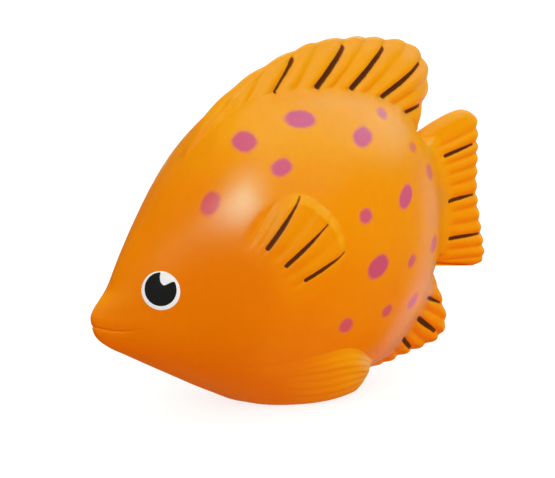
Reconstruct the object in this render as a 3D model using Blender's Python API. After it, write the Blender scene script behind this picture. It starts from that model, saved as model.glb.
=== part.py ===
# Soft foam fish, a squeeze toy that stands on the flat of its belly.
# Metres, +Z up.  Head towards -X, tail towards +X, left side towards -Y.
# Origin: middle of the bounding box, on the surface the fish stands on.
import math

import bpy
import bmesh
import numpy as np

# ------------------------------------------------------------------ driving sizes
UNIT = 0.95e-3        # metres for one drawing unit: the fish is drawn about 100 units long
HALF_WIDTH = 24.0     # half of the thickness over the flanks
ROUND = 0.80          # 1 gives an elliptic section, less gives a sharper ridge
BASE_Z = -35.0        # the belly is cut flat here
MID_X = 4.42          # middle of the length, moved to the origin
GAP = 0.32            # clearance between neighbouring pieces
SKIN = 3.2            # thickness of a flank's skin
FIN_T_ROOT = 4.0      # half thickness of the fins near the root
FIN_T_TIP = 2.1       # half thickness of the fins near the edge
ROOT_WEB = 2.3        # height of the soft web that each fin bends on
EYE_R = 4.15          # radius of the white of the eye
EYE_AT = (-33.42, -5.07)
CENTRE = (-2.0, -1.0)            # the rings of the body are drawn around this point
FLANK_AT = (3.0, -0.5)           # middle of the part of the side that gives when squeezed
FLANK_R = (27.0, 25.0)

# outline of the body in the middle plane, from the upper lip over the back and round
OUTLINE = [(-45.3, -11.6), (-44.1, -9.0), (-41.3, -6.4), (-38.3, -1.3), (-33.3, 7.1),
           (-26.9, 16.3), (-19.1, 25.1), (-10.5, 31.2), (-1.0, 33.6), (9.0, 33.7),
           (18.5, 31.9), (27.0, 28.0), (33.5, 22.2), (38.3, 14.5), (40.7, 5.5),
           (40.7, -4.0), (38.5, -13.0), (33.8, -21.5), (26.5, -28.5), (16.5, -34.1),
           (5.0, -37.2), (-7.0, -36.3), (-18.0, -31.4), (-28.0, -26.0), (-36.4, -21.3),
           (-42.0, -18.0), (-44.4, -15.6), (-45.0, -13.7)]

# grooves between the rays of each fin, from root to edge
DORSAL = [((-18.5, 27.2), (-17.4, 29.0)), ((-14.5, 29.4), (-10.9, 34.3)),
          ((-9.0, 31.7), (-3.0, 38.4)), ((-2.8, 33.2), (4.3, 41.1)),
          ((2.2, 33.6), (10.0, 42.4)), ((7.1, 33.7), (16.9, 42.6)),
          ((11.2, 33.3), (22.1, 42.4)), ((15.5, 32.6), (27.2, 41.5)),
          ((19.5, 31.4), (32.6, 40.3)), ((23.4, 29.8), (36.6, 36.8)),
          ((27.0, 27.8), (38.0, 31.9)), ((30.3, 25.4), (36.9, 26.6)),
          ((32.7, 22.4), (35.0, 21.4))]
TAIL = [((39.2, -10.6), (51.0, -12.3)), ((39.6, -9.4), (53.6, -10.6)),
        ((40.0, -7.5), (53.7, -7.9)), ((40.5, -4.9), (53.1, -4.9)),
        ((40.8, -2.0), (52.6, -1.9)), ((41.0, 0.9), (52.0, 1.5)),
        ((41.0, 3.7), (51.6, 4.5)), ((40.7, 6.7), (51.5, 7.9)),
        ((40.2, 9.2), (51.6, 10.9)), ((39.6, 11.6), (51.6, 13.8)),
        ((38.9, 13.6), (51.6, 16.5)), ((38.0, 15.6), (51.4, 19.8)),
        ((37.2, 17.1), (49.8, 23.0)), ((36.7, 18.0), (46.2, 23.4))]
ANAL = [((39.0, -11.9), (40.2, -12.6)), ((37.9, -14.4), (41.5, -16.0)),
        ((36.4, -17.1), (43.0, -20.4)), ((35.2, -19.3), (43.7, -24.4)),
        ((33.8, -21.4), (42.2, -27.7)), ((31.8, -23.7), (38.5, -29.2)),
        ((29.9, -25.6), (34.8, -30.1)), ((27.4, -27.7), (31.1, -30.9)),
        ((24.6, -29.7), (27.2, -31.9))]
# side fins: (upper or outer edge, lower or root edge)
PECTORAL = [((-20.4, 6.6), (-18.9, 4.6)), ((-19.6, 9.4), (-18.2, 2.8)), ((-17.0, 12.8), (-17.0, 1.0)),
            ((-12.7, 15.1), (-15.4, -0.8)), ((-7.9, 15.6), (-13.4, -2.4)),
            ((-3.5, 13.4), (-11.2, -3.8)), ((0.2, 9.7), (-8.8, -5.0)),
            ((2.4, 5.3), (-6.4, -5.8)), ((2.7, 1.8), (-4.6, -6.2)),
            ((1.0, -2.4), (-3.0, -6.2))]
PELVIC = [((-12.5, -27.4), (-10.6, -33.6)), ((-8.6, -24.6), (-7.6, -34.9)),
          ((-4.6, -22.2), (-4.0, -35.0)), ((-0.4, -21.0), (-0.4, -35.0)),
          ((4.0, -20.6), (3.2, -35.0)), ((8.4, -21.2), (7.2, -35.0)),
          ((12.0, -23.2), (11.2, -34.4)), ((15.2, -25.8), (14.8, -31.6))]

ORANGE = (0.85, 0.31, 0.012)


# ------------------------------------------------------------------ curves and surfaces
def spline(points, per, closed):
    """Catmull-Rom curve through the points, with `per` steps for each span."""
    p = np.asarray(points, float)
    if closed:
        p = np.vstack([p[-1:], p, p[:2]])
    else:
        p = np.vstack([2 * p[0] - p[1], p, 2 * p[-1] - p[-2]])
    out = []
    for i in range(1, len(p) - 2):
        k = np.concatenate([[0.0], np.cumsum(np.linalg.norm(np.diff(p[i - 1:i + 3], axis=0), axis=1) ** 0.5)])
        last = not closed and i == len(p) - 3
        t = np.linspace(k[1], k[2], per + 1 if last else per, endpoint=last)[:, None]
        a = [(k[j + 1] - t) / (k[j + 1] - k[j]) * p[i - 1 + j] + (t - k[j]) / (k[j + 1] - k[j]) * p[i + j]
             for j in range(3)]
        b = [(k[j + 2] - t) / (k[j + 2] - k[j]) * a[j] + (t - k[j]) / (k[j + 2] - k[j]) * a[j + 1]
             for j in range(2)]
        out.append((k[2] - t) / (k[2] - k[1]) * b[0] + (t - k[1]) / (k[2] - k[1]) * b[1])
    return np.concatenate(out)


def outline_waves(count=80, steps=1440):
    """The outline as a sum of waves of its radius around CENTRE."""
    q = spline(OUTLINE, 60, True) - np.array(CENTRE)
    ang, rad = np.arctan2(q[:, 1], q[:, 0]), np.hypot(q[:, 0], q[:, 1])
    order = np.argsort(ang)
    grid = -math.pi + 2 * math.pi * np.arange(steps) / steps
    c = np.fft.rfft(np.interp(grid, ang[order], rad[order], period=2 * math.pi)) / steps
    return (c * np.exp(1j * math.pi * np.arange(len(c))))[:count + 1]


WAVES = outline_waves()


def ring_radius(ang, level):
    """Radius of a ring of the body: level 1 is the outline, and rings inside get rounder."""
    w = np.asarray(level, float) * np.exp(1j * np.asarray(ang, float))
    s = np.zeros_like(w)
    for c in WAVES[:0:-1]:
        s = (s + c) * w
    return WAVES[0].real + 2 * s.real


def level_at(x, z):
    dx, dz = x - CENTRE[0], z - CENTRE[1]
    ang, d = np.arctan2(dz, dx), np.hypot(dx, dz)
    lev = np.clip(d / ring_radius(ang, np.ones_like(d)), 0, 1)
    for _ in range(16):
        lev = 0.5 * lev + 0.5 * np.clip(d / ring_radius(ang, np.minimum(lev, 1)), 0, 1)
    return lev


def half_width(x, z):
    """Half thickness of the body over a point of the middle plane."""
    f = 1 - level_at(x, z) ** 2
    a = np.clip((x + 45.5) / 34, 0, 1)
    b = np.clip((x - 12) / 30, 0, 1)
    snout = 1 - 0.45 * np.clip((-32 - x) / 13, 0, 1) ** 2
    return (snout * HALF_WIDTH * (ROUND * np.sqrt(f) + (1 - ROUND) * f)
            * (0.62 + 0.38 * a * a * (3 - 2 * a)) * (1 - 0.1 * b * b))


def flank_edge(ang, shrink=0.0):
    return np.stack([FLANK_AT[0] + (FLANK_R[0] - shrink) * np.cos(ang),
                     FLANK_AT[1] + (FLANK_R[1] - shrink) * np.sin(ang)], -1)


def to_part(x, y, z):
    return np.stack([(np.asarray(x) - MID_X) * UNIT, np.asarray(y) * UNIT,
                     (np.asarray(z) - BASE_Z) * UNIT], -1)


# ------------------------------------------------------------------ objects
def material(name, colour, roughness):
    m = bpy.data.materials.new(name)
    m.use_nodes = True
    b = m.node_tree.nodes["Principled BSDF"]
    b.inputs["Base Color"].default_value = (*colour, 1.0)
    b.inputs["Roughness"].default_value = roughness
    b.inputs["Metallic"].default_value = 0.0
    return m


def add(name, verts, faces, origin, colour, roughness=0.5):
    """One closed solid, with its origin at the given point of the drawing."""
    o = to_part(*origin)
    mesh = bpy.data.meshes.new(name)
    mesh.from_pydata([tuple(float(c) for c in v - o) for v in verts], [], faces)
    bm = bmesh.new()
    bm.from_mesh(mesh)
    bmesh.ops.recalc_face_normals(bm, faces=bm.faces)
    bm.to_mesh(mesh)
    bm.free()
    mesh.shade_smooth()
    mesh.set_sharp_from_angle(angle=math.radians(40))
    mesh.materials.append(material(name, colour, roughness))
    ob = bpy.data.objects.new(name, mesh)
    ob.location = tuple(float(c) for c in o)
    bpy.context.scene.collection.objects.link(ob)
    return ob


def plate(name, x, z, y0, y1, origin, colour, roughness=0.5):
    """Solid between two sheets over one grid of the middle plane, closed round its border."""
    n, m = x.shape
    verts = np.concatenate([to_part(x, y0, z).reshape(-1, 3), to_part(x, y1, z).reshape(-1, 3)])
    k = n * m
    faces = []
    for i in range(n - 1):
        for j in range(m - 1):
            a, b, c, d = i * m + j, (i + 1) * m + j, (i + 1) * m + j + 1, i * m + j + 1
            faces += [(a, b, c, d), (k + d, k + c, k + b, k + a)]
    border = ([i * m for i in range(n)] + [(n - 1) * m + j for j in range(1, m)]
              + [i * m + m - 1 for i in range(n - 2, -1, -1)] + [j for j in range(m - 2, 0, -1)])
    for a, b in zip(border, border[1:] + border[:1]):
        faces.append((b, a, k + a, k + b))
    return add(name, verts, faces, origin, colour, roughness)


def disc_grid(edge, shares):
    """Rings from a middle point out to a closed edge: points and faces of one sheet."""
    mid = edge.mean(axis=0)
    pts = [mid[None]] + [mid + (edge - mid) * s for s in shares]
    n = len(edge)
    faces = [(0, 1 + j, 1 + (j + 1) % n) for j in range(n)]
    for r in range(len(shares) - 1):
        a, b = 1 + r * n, 1 + (r + 1) * n
        faces += [(a + j, b + j, b + (j + 1) % n, a + (j + 1) % n) for j in range(n)]
    return np.concatenate(pts), faces


def lens(name, edge, shares, y0, y1, origin, colour, roughness=0.5):
    """Solid between two sheets over a round patch; y0 and y1 are functions of x and z."""
    p, sheet = disc_grid(edge, shares)
    k, n = len(p), len(edge)
    verts = np.concatenate([to_part(p[:, 0], y0(p[:, 0], p[:, 1]), p[:, 1]),
                            to_part(p[:, 0], y1(p[:, 0], p[:, 1]), p[:, 1])])
    faces = list(sheet) + [tuple(k + v for v in reversed(f)) for f in sheet]
    first = k - n
    for j in range(n):
        a, b = first + j, first + (j + 1) % n
        faces.append((b, a, k + a, k + b))
    return add(name, verts, faces, origin, colour, roughness)


# ------------------------------------------------------------------ pieces
def body_rim():
    """The ring of head, back, tail stalk and belly that the flanks sit in."""
    n, steps = 80, 7
    ang = 2 * math.pi * np.arange(n) / n
    inner = flank_edge(ang)
    away = np.arctan2(inner[:, 1] - CENTRE[1], inner[:, 0] - CENTRE[0])
    outer = np.array(CENTRE) + ring_radius(away, np.ones(n))[:, None] * np.stack([np.cos(away), np.sin(away)], -1)
    rows = []
    share = np.sin(np.linspace(0, math.pi / 2, steps + 1))
    for s in share:
        p = inner + (outer - inner) * s
        w = half_width(p[:, 0], p[:, 1]) if s < 1 else np.zeros(n)
        rows.append((p[:, 0], w, np.maximum(p[:, 1], BASE_Z)))
    loops = [(x, -w, z) for x, w, z in rows] + [(x, w, z) for x, w, z in rows[-2::-1]]
    x, w, z = rows[0]
    loops += [(x, w * f, z) for f in (0.4, -0.4)]
    verts = np.concatenate([to_part(*l) for l in loops])
    faces = []
    for i in range(len(loops)):
        a, b = i * n, ((i + 1) % len(loops)) * n
        faces += [(a + j, a + (j + 1) % n, b + (j + 1) % n, b + j) for j in range(n)]
    return add("body_rim", verts, faces, (MID_X, 0, BASE_Z), ORANGE, 0.48)


FLANK_SHARES = (0.2, 0.42, 0.64, 0.84, 1.0)


def flanks_and_core():
    ang = 2 * math.pi * np.arange(44) / 44
    edge = flank_edge(ang, GAP)
    for side, s in (("left", -1), ("right", 1)):
        lens("flank_" + side, edge, FLANK_SHARES,
             lambda x, z: s * half_width(x, z), lambda x, z: s * (half_width(x, z) - SKIN),
             (FLANK_AT[0], s * HALF_WIDTH, FLANK_AT[1]), ORANGE, 0.48)
    lens("foam_core", edge, FLANK_SHARES,
         lambda x, z: -(half_width(x, z) - SKIN - GAP), lambda x, z: half_width(x, z) - SKIN - GAP,
         (FLANK_AT[0], 0, FLANK_AT[1]), (0.86, 0.48, 0.16), 0.85)


def median_fin(name, ribs, hinge, per):
    """A fin in the middle plane with a scalloped edge, and the web it bends on."""
    root, tip = (spline([r[k] for r in ribs], per, False) for k in (0, 1))
    u = np.linspace(0, len(ribs) - 1, len(root))
    ray = np.abs(np.sin(math.pi * u))
    d = tip - root
    length = np.linalg.norm(d, axis=1)
    out = d / length[:, None]
    calm = np.clip(np.minimum(u, len(ribs) - 1 - u) / 1.2, 0, 1)
    tip = tip + out * (0.9 * (ray ** 0.7 - 0.15) * calm)[:, None]
    # height over the body's outline, along each ray
    base = []
    for p, e in zip(root, out):
        reach = np.linspace(-3, 4, 141)
        q = p + e * reach[:, None]
        r = np.hypot(q[:, 0] - CENTRE[0], q[:, 1] - CENTRE[1])
        a = np.arctan2(q[:, 1] - CENTRE[1], q[:, 0] - CENTRE[0])
        over = r - ring_radius(a, np.ones(len(a)))
        base.append(reach[np.argmax(over > GAP)])
    base = np.array(base)
    full = np.linalg.norm(tip - root, axis=1)
    web = np.minimum(ROOT_WEB, 0.4 * (full - base))
    v = np.array([0, 0.3, 0.58, 0.8, 0.93, 1.0])
    lo, hi = base + web + GAP, full
    along = lo[:, None] + (hi - lo)[:, None] * v
    x, z = (root[:, k, None] + out[:, k, None] * along for k in (0, 1))
    left = hi[:, None] - along
    t = FIN_T_TIP + (FIN_T_ROOT - FIN_T_TIP) * np.clip(left / 9, 0, 1)
    t = t * np.sqrt(np.clip(1 - (1 - np.clip(left / 2.0, 0, 1)) ** 2, 0.12, 1))
    t = t * (1 - 0.22 * (1 - ray ** 0.8)[:, None] * np.clip(1.2 - left / 9, 0.2, 1))
    plate(name, x, z, -t, t, hinge, ORANGE, 0.5)
    pick = np.arange(0, len(root), 2)
    if pick[-1] != len(root) - 1:
        pick = np.append(pick, len(root) - 1)
    along = base[pick, None] + web[pick, None] * np.array([0, 1.0])
    x, z = (root[pick, k, None] + out[pick, k, None] * along for k in (0, 1))
    t = np.repeat(t[pick, :1], 2, axis=1)
    plate(name + "_root", x, z, -t, t, hinge, ORANGE, 0.55)


def side_fin(name, pairs, s, height, per, rows):
    """A fin in low relief on the side of the body; height is a function of the share across."""
    top, low = (spline([p[k] for p in pairs], per, False) for k in (0, 1))
    v = np.linspace(0, 1, rows)
    x, z = (low[:, k, None] + (top - low)[:, k, None] * v for k in (0, 1))
    w = half_width(x, z)
    plate(name, x, z, s * (w + GAP), s * (w + GAP + height(x, z, v)), (x.mean(), s * w.mean(), z.mean()), ORANGE, 0.5)


def pectoral_height(x, z, v):
    return 0.5 + 0.9 * np.clip(v, 0, 1) ** 1.5 + 0.0 * x


def pelvic_height(x, z, v):
    w = half_width(x, z)
    side = 10.6 + 7.8 * np.clip((z + 35.0) / 14.0, 0, 1) ** 0.62
    return np.maximum(side - w - GAP, 0.7)


def eyes():
    for side, s in (("left", -1), ("right", 1)):
        ang = 2 * math.pi * np.arange(20) / 20
        c = np.array(EYE_AT)

        def shell(name, edge, lo, hi, colour, rough):
            lens(name + "_" + side, edge, (0.6, 1.0),
                 lambda x, z: s * (half_width(x, z) + lo), lambda x, z: s * (half_width(x, z) + hi),
                 (EYE_AT[0], s * 11.0, EYE_AT[1]), colour, rough)

        turn = np.stack([np.cos(ang), np.sin(ang)], -1)
        shell("eye_white", c + EYE_R * np.array([0.79, 1.0]) * turn, 0.12, 0.6, (0.86, 0.85, 0.82), 0.35)
        shell("pupil", c + np.array([0.0, 0.3]) + np.array([2.72, 3.4]) * turn, 0.72, 1.0, (0.02, 0.02, 0.02), 0.3)
        shell("glint", c + np.array([0.95, 2.3]) + np.array([1.0, 1.05]) * turn, 1.12, 1.35, (0.9, 0.9, 0.88), 0.3)


def main():
    for ob in list(bpy.data.objects):
        bpy.data.objects.remove(ob, do_unlink=True)
    body_rim()
    flanks_and_core()
    median_fin("dorsal_fin", DORSAL, (10.0, 0, 28.5), 4)
    median_fin("tail_fin", TAIL, (39.0, 0, 4.0), 4)
    median_fin("anal_fin", ANAL, (31.5, 0, -21.2), 4)
    for side, s in (("left", -1), ("right", 1)):
        side_fin("pectoral_fin_" + side, PECTORAL, s, pectoral_height, 3, 5)
        side_fin("pelvic_fin_" + side, PELVIC, s, pelvic_height, 3, 6)
    eyes()


main()
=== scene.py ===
import math

import bmesh
import bpy
import numpy as np
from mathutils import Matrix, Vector


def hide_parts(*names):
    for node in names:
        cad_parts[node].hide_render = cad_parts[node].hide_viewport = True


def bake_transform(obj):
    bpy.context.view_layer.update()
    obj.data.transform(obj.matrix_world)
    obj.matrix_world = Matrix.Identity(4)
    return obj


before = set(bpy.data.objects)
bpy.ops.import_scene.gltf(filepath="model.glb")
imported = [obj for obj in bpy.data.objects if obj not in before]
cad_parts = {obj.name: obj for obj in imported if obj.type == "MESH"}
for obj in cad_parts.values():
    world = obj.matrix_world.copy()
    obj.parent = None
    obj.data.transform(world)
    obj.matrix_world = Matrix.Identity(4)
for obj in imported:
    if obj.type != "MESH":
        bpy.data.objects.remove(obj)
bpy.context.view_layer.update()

# ============================================================ sizes, in drawing units (about a millimetre)
UNIT = 0.95e-3
BASE_Z = -35.0
MID_X = 4.42
HALF_WIDTH = 24.0
ROUND = 0.80            # 1 gives an elliptic section, less gives a sharper ridge
CENTRE = (-2.0, -1.0)
HUG = 0.009             # a side fin's skirt lies this far over the body
FIRM = 10.0             # nearer to the middle plane than this, the foam does not give way

OUTLINE = [(-45.3, -11.6), (-44.1, -9.0), (-41.4, -6.3), (-38.7, -1.05), (-33.4, 7.15), (-26.9, 16.3),
           (-19.1, 25.1), (-10.5, 31.2), (-1.0, 33.6), (9.0, 33.7), (18.5, 31.9), (27.0, 28.0),
           (33.5, 22.2), (38.3, 14.5), (40.7, 5.5), (40.7, -4.0), (38.5, -13.0), (33.8, -21.5),
           (26.5, -28.5), (16.5, -34.1), (5.0, -37.2), (-7.0, -36.3), (-18.0, -31.4), (-28.0, -26.0),
           (-36.4, -21.3), (-42.0, -18.0), (-44.4, -15.6), (-45.0, -13.7)]

# each fin is a row of grooves between its lobes: where a groove starts on the body, and where it ends
DORSAL = [((-24.0, 19.4), (-24.4, 19.9)), ((-19.0, 25.3), (-18.0, 28.6)), ((-14.5, 28.9), (-10.9, 34.3)),
          ((-9.0, 31.7), (-3.0, 38.4)), ((-2.8, 33.2), (4.3, 41.1)), ((2.2, 33.6), (10.0, 42.4)),
          ((7.1, 33.7), (16.9, 42.6)), ((11.2, 33.3), (22.1, 42.4)), ((15.5, 32.6), (27.2, 41.5)),
          ((19.5, 31.4), (32.6, 40.3)), ((23.0, 30.0), (36.6, 36.8)), ((26.9, 28.0), (38.0, 31.9)),
          ((30.0, 25.8), (36.9, 26.6)), ((32.5, 23.4), (35.7, 22.8), 12.5), ((34.9, 20.15), (35.5, 20.6), 13)]
TAIL = [((38.7, -10.7), (51.0, -12.5), 0.0), ((39.0, -10.3), (53.1, -11.8), 0.5), ((39.4, -9.8), (53.8, -10.5), 1),
        ((40.0, -7.5), (53.7, -7.9), 2), ((40.5, -4.9), (53.1, -4.9), 3), ((40.8, -2.0), (52.6, -1.9), 4),
        ((41.0, 0.9), (52.0, 1.5), 5), ((41.0, 3.7), (51.6, 4.5), 6), ((40.7, 6.7), (51.5, 7.9), 7),
        ((40.2, 9.2), (51.6, 10.9), 8), ((39.6, 11.6), (51.6, 13.8), 9), ((38.9, 13.6), (51.6, 16.5), 10),
        ((38.0, 15.6), (51.5, 19.5), 11), ((37.5, 16.5), (51.2, 21.6), 11.5), ((37.1, 17.2), (49.8, 23.1), 11.8),
        ((36.7, 17.8), (47.8, 23.9), 12), ((36.35, 18.25), (45.0, 23.6), 12.3), ((36.05, 18.65), (42.1, 22.7), 12.6),
        ((35.75, 19.05), (39.2, 21.5), 12.8), ((35.4, 19.5), (36.2, 20.1), 13)]
ANAL = [((39.2, -11.2), (40.0, -12.0)), ((37.9, -14.4), (41.5, -16.0)), ((36.4, -17.1), (43.0, -20.4)),
        ((35.2, -19.3), (43.7, -24.4)), ((33.8, -21.4), (42.2, -27.7)), ((31.8, -23.7), (38.5, -29.2)),
        ((29.9, -25.6), (34.8, -30.1)), ((27.4, -27.7), (31.1, -30.9)), ((24.6, -29.7), (27.4, -32.0)),
        ((21.8, -31.3), (22.6, -32.6))]

# painted grooves: groove number, start and end in units from the body's outline, half width at start and end
DORSAL_PAINT = [(4, -0.4, 8.8, 0.26, 0.42), (6, -0.7, 11.4, 0.60, 0.48), (8, -0.5, 12.6, 0.62, 0.44),
                (10, -0.3, 13.2, 0.58, 0.42), (12, 0.0, 5.7, 0.50, 0.40)]
TAIL_PAINT = [(3, 2.5, 11.6, 0.45, 0.30), (6, 1.7, 9.4, 0.46, 0.30), (10, 2.9, 11.4, 0.44, 0.30)]
ANAL_PAINT = [(2, 0.0, 5.8, 0.46, 0.26), (4, -0.1, 8.0, 0.66, 0.48), (6, -0.2, 5.4, 0.58, 0.48)]

# side fin: rays from one point, its edge, and the angles of its grooves
FAN = (-30.3, -15.1)
FAN_EDGE = [(-21.4, 0.6), (-20.6, 2.4), (-19.6, 4.4), (-17.9, 7.7), (-15.4, 11.2), (-12.2, 13.7), (-8.7, 15.0), (-6.0, 14.9),
            (-3.1, 13.3), (-0.4, 10.7), (1.5, 8.1), (2.6, 5.4), (3.0, 3.0), (2.8, 0.6), (1.9, -1.6),
            (0.2, -3.6), (-2.0, -5.0)]
FAN_GROOVES = [(58.2, 0.13, 0.42, 0), (54.9, 0.15, 0.46, 0), (51.5, 0.22, 0.62, 1), (45.4, 0.34, 1.0, 0),
               (39.3, 0.30, 0.62, 1), (33.4, 0.30, 1.0, 0), (27.5, 0.28, 0.62, 1)]

# sprayed spots: place on the side, half axes, the turn of the long axis, how dense, how red
SPOTS = [(21.25, 27.1, 1.65, 1.35, 22, 0.72, 0.5), (-1.1, 28.8, 3.4, 2.4, -1, 0.95, 0.0), (12.6, 24.05, 3.05, 2.05, 21, 0.95, 0.0),
         (-14.05, 25.1, 2.75, 2.4, -35, 0.95, 0.3), (-9.05, 20.3, 2.35, 1.8, 29, 0.95, 0.2), (33.5, 12.9, 1.9, 1.7, 26, 0.62, 0.8),
         (22.15, 10.3, 3.2, 1.95, 34, 0.95, 0.2), (-23.3, 13.2, 2.65, 1.95, 72, 0.92, 1.0), (9.0, 8.6, 1.8, 1.55, 14, 0.92, 0.3),
         (12.15, -2.85, 3.25, 2.35, 21, 0.97, 0.2), (23.6, -4.1, 1.65, 1.3, 31, 0.82, 0.6), (16.35, -13.95, 1.65, 1.4, 10, 0.9, 0.6),
         (4.4, -14.85, 1.85, 1.7, -22, 0.9, 0.6), (28.35, 19.25, 1.65, 1.15, 10, 0.58, 0.8), (33.5, -2.95, 2.15, 1.9, 19, 0.62, 0.8),
         (26.25, -14.3, 2.35, 1.75, 12, 0.62, 0.8)]

EYE_AT = (-33.42, -5.07)
EYE_R = 4.15


# ============================================================ maths
def smooth(a, b, x):
    t = np.clip((np.asarray(x, float) - a) / (b - a), 0, 1)
    return t * t * (3 - 2 * t)


def smax(a, b, k):
    """The larger of a and b, rounded over a width of k where they cross."""
    k = np.maximum(k, 1e-6)
    h = np.maximum(k - np.abs(a - b), 0) / k
    return np.maximum(a, b) + 0.25 * h * h * k


def spline(points, per, closed=False):
    """Centripetal Catmull-Rom curve through the points, `per` steps for each span."""
    p = np.asarray(points, float)
    p = np.vstack([p[-1:], p, p[:2]]) if closed else np.vstack([2 * p[0] - p[1], p, 2 * p[-1] - p[-2]])
    out = []
    for i in range(1, len(p) - 2):
        k = np.concatenate([[0.0], np.cumsum(np.linalg.norm(np.diff(p[i - 1:i + 3], axis=0), axis=1) ** 0.5)])
        last = not closed and i == len(p) - 3
        t = np.linspace(k[1], k[2], per + 1 if last else per, endpoint=last)[:, None]
        a = [(k[j + 1] - t) / (k[j + 1] - k[j]) * p[i - 1 + j] + (t - k[j]) / (k[j + 1] - k[j]) * p[i + j]
             for j in range(3)]
        b = [(k[j + 2] - t) / (k[j + 2] - k[j]) * a[j] + (t - k[j]) / (k[j + 2] - k[j]) * a[j + 1]
             for j in range(2)]
        out.append((k[2] - t) / (k[2] - k[1]) * b[0] + (t - k[1]) / (k[2] - k[1]) * b[1])
    return np.concatenate(out)


def line_distance(x, z, line, with_run=False):
    """Distance in the middle plane from points to a polyline, and the share of the line passed there."""
    shape = np.shape(x)
    q = np.stack([np.ravel(x), np.ravel(z)], -1)
    best, run, done = np.full(len(q), 1e9), np.zeros(len(q)), 0.0
    for a, b in zip(line[:-1], line[1:]):
        d = b - a
        size = math.sqrt(max(d @ d, 1e-12))
        t = np.clip(((q - a) @ d) / size ** 2, 0, 1)
        far = np.linalg.norm(q - a - t[:, None] * d, axis=1)
        near = far < best
        best, run = np.where(near, far, best), np.where(near, done + t * size, run)
        done += size
    return (best.reshape(shape), run.reshape(shape) / done) if with_run else best.reshape(shape)


def in_loop(x, z, loop):
    """True inside a closed polyline of the middle plane."""
    inside = np.zeros(np.shape(x), bool)
    for (x0, z0), (x1, z1) in zip(loop, np.roll(loop, -1, axis=0)):
        cross = (z0 > z) != (z1 > z)
        inside ^= cross & (x < (x1 - x0) * (z - z0) / ((z1 - z0) if z1 != z0 else 1e-9) + x0)
    return inside


def outline_waves(count=72, steps=1440):
    q = spline(OUTLINE, 60, True) - np.array(CENTRE)
    ang, rad = np.arctan2(q[:, 1], q[:, 0]), np.hypot(q[:, 0], q[:, 1])
    order = np.argsort(ang)
    grid = -math.pi + 2 * math.pi * np.arange(steps) / steps
    c = np.fft.rfft(np.interp(grid, ang[order], rad[order], period=2 * math.pi)) / steps
    return (c * np.exp(1j * math.pi * np.arange(len(c))))[:count + 1]


WAVES = outline_waves()


def ring_radius(ang, level):
    """Radius of a ring of the body: level 1 is the outline, rings inside get rounder."""
    w = np.asarray(level, float) * np.exp(1j * np.asarray(ang, float))
    s = np.zeros_like(w)
    for c in WAVES[:0:-1]:
        s = (s + c) * w
    return WAVES[0].real + 2 * s.real


def level_at(x, z):
    """0 in the middle of the side, 1 on the outline, more outside it."""
    dx, dz = x - CENTRE[0], z - CENTRE[1]
    ang, d = np.arctan2(dz, dx), np.hypot(dx, dz)
    edge = d / ring_radius(ang, np.ones_like(d))
    lev = np.clip(edge, 0, 1)
    for _ in range(12):
        lev = 0.5 * lev + 0.5 * np.clip(d / ring_radius(ang, np.minimum(lev, 1)), 0, 1)
    return np.where(edge >= 1, edge, lev)


def section(level, x):
    f = np.clip(1 - level ** 2, 0, None)
    a = np.clip((x + 45.5) / 34, 0, 1)
    b = np.clip((x - 12) / 30, 0, 1)
    snout = 1 - 0.45 * np.clip((-32 - x) / 13, 0, 1) ** 2
    return snout * HALF_WIDTH * (ROUND * np.sqrt(f) + (1 - ROUND) * f) * (0.62 + 0.38 * a * a * (3 - 2 * a)) * (1 - 0.1 * b * b)


def half_width(x, z):
    """Half thickness of the plain body; below zero outside the outline."""
    lev = level_at(x, z)
    return np.where(lev < 1, section(np.minimum(lev, 1), x), -60.0 * (lev - 1))


def side_normal(x, z):
    e = 0.05
    gx = (half_width(x + e, z) - half_width(x - e, z)) / (2 * e)
    gz = (half_width(x, z + e) - half_width(x, z - e)) / (2 * e)
    n = np.stack([-gx, np.ones_like(gx), -gz], -1)
    return n / np.linalg.norm(n, axis=-1, keepdims=True)


def side_frame(x, z):
    """Points of the plain body and its normals there."""
    return np.stack([x, half_width(x, z), z], -1), side_normal(x, z)


def flat_base(z):
    """The belly is cut flat, with a soft edge."""
    return BASE_Z + smax(np.asarray(z, float) - BASE_Z, 0.0, 1.6)


def to_part(p):
    return (np.asarray(p, float) - np.array([MID_X, 0, BASE_Z])) * UNIT


def tangents(n):
    """Two directions along the surface: towards the tail, and up."""
    up = np.array([0.0, 0.0, 1.0]) - n * n[2]
    up /= np.linalg.norm(up)
    return np.cross(n, up), up


def spray(p):
    """About how far a point is outside the nearest sprayed spot, and that spot's density and redness."""
    q = np.array(p, float)
    q[:, 1] = np.abs(q[:, 1])
    best, dense, red = np.full(len(q), 9.0), np.zeros(len(q)), np.zeros(len(q))
    for x, z, a, b, turn, density, redness in SPOTS:
        at, n = (v[0] for v in side_frame(np.array([x]), np.array([z])))
        e1, e2 = tangents(n)
        t = math.radians(turn)
        long, short = e1 * math.cos(t) + e2 * math.sin(t), e2 * math.cos(t) - e1 * math.sin(t)
        d = q - at
        # a little squarer than an ellipse, as the spray mask leaves them
        r = (np.abs(d @ long / a) ** 2.25 + np.abs(d @ short / b) ** 2.25 + np.abs(d @ n / 4.0) ** 2.25) ** (1 / 2.25)
        r = (r - 1) * math.sqrt(a * b)
        near = r < best
        best, dense, red = np.where(near, r, best), np.where(near, density, dense), np.where(near, redness, red)
    return {"spot": best, "dense": dense, "red": red}


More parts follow.
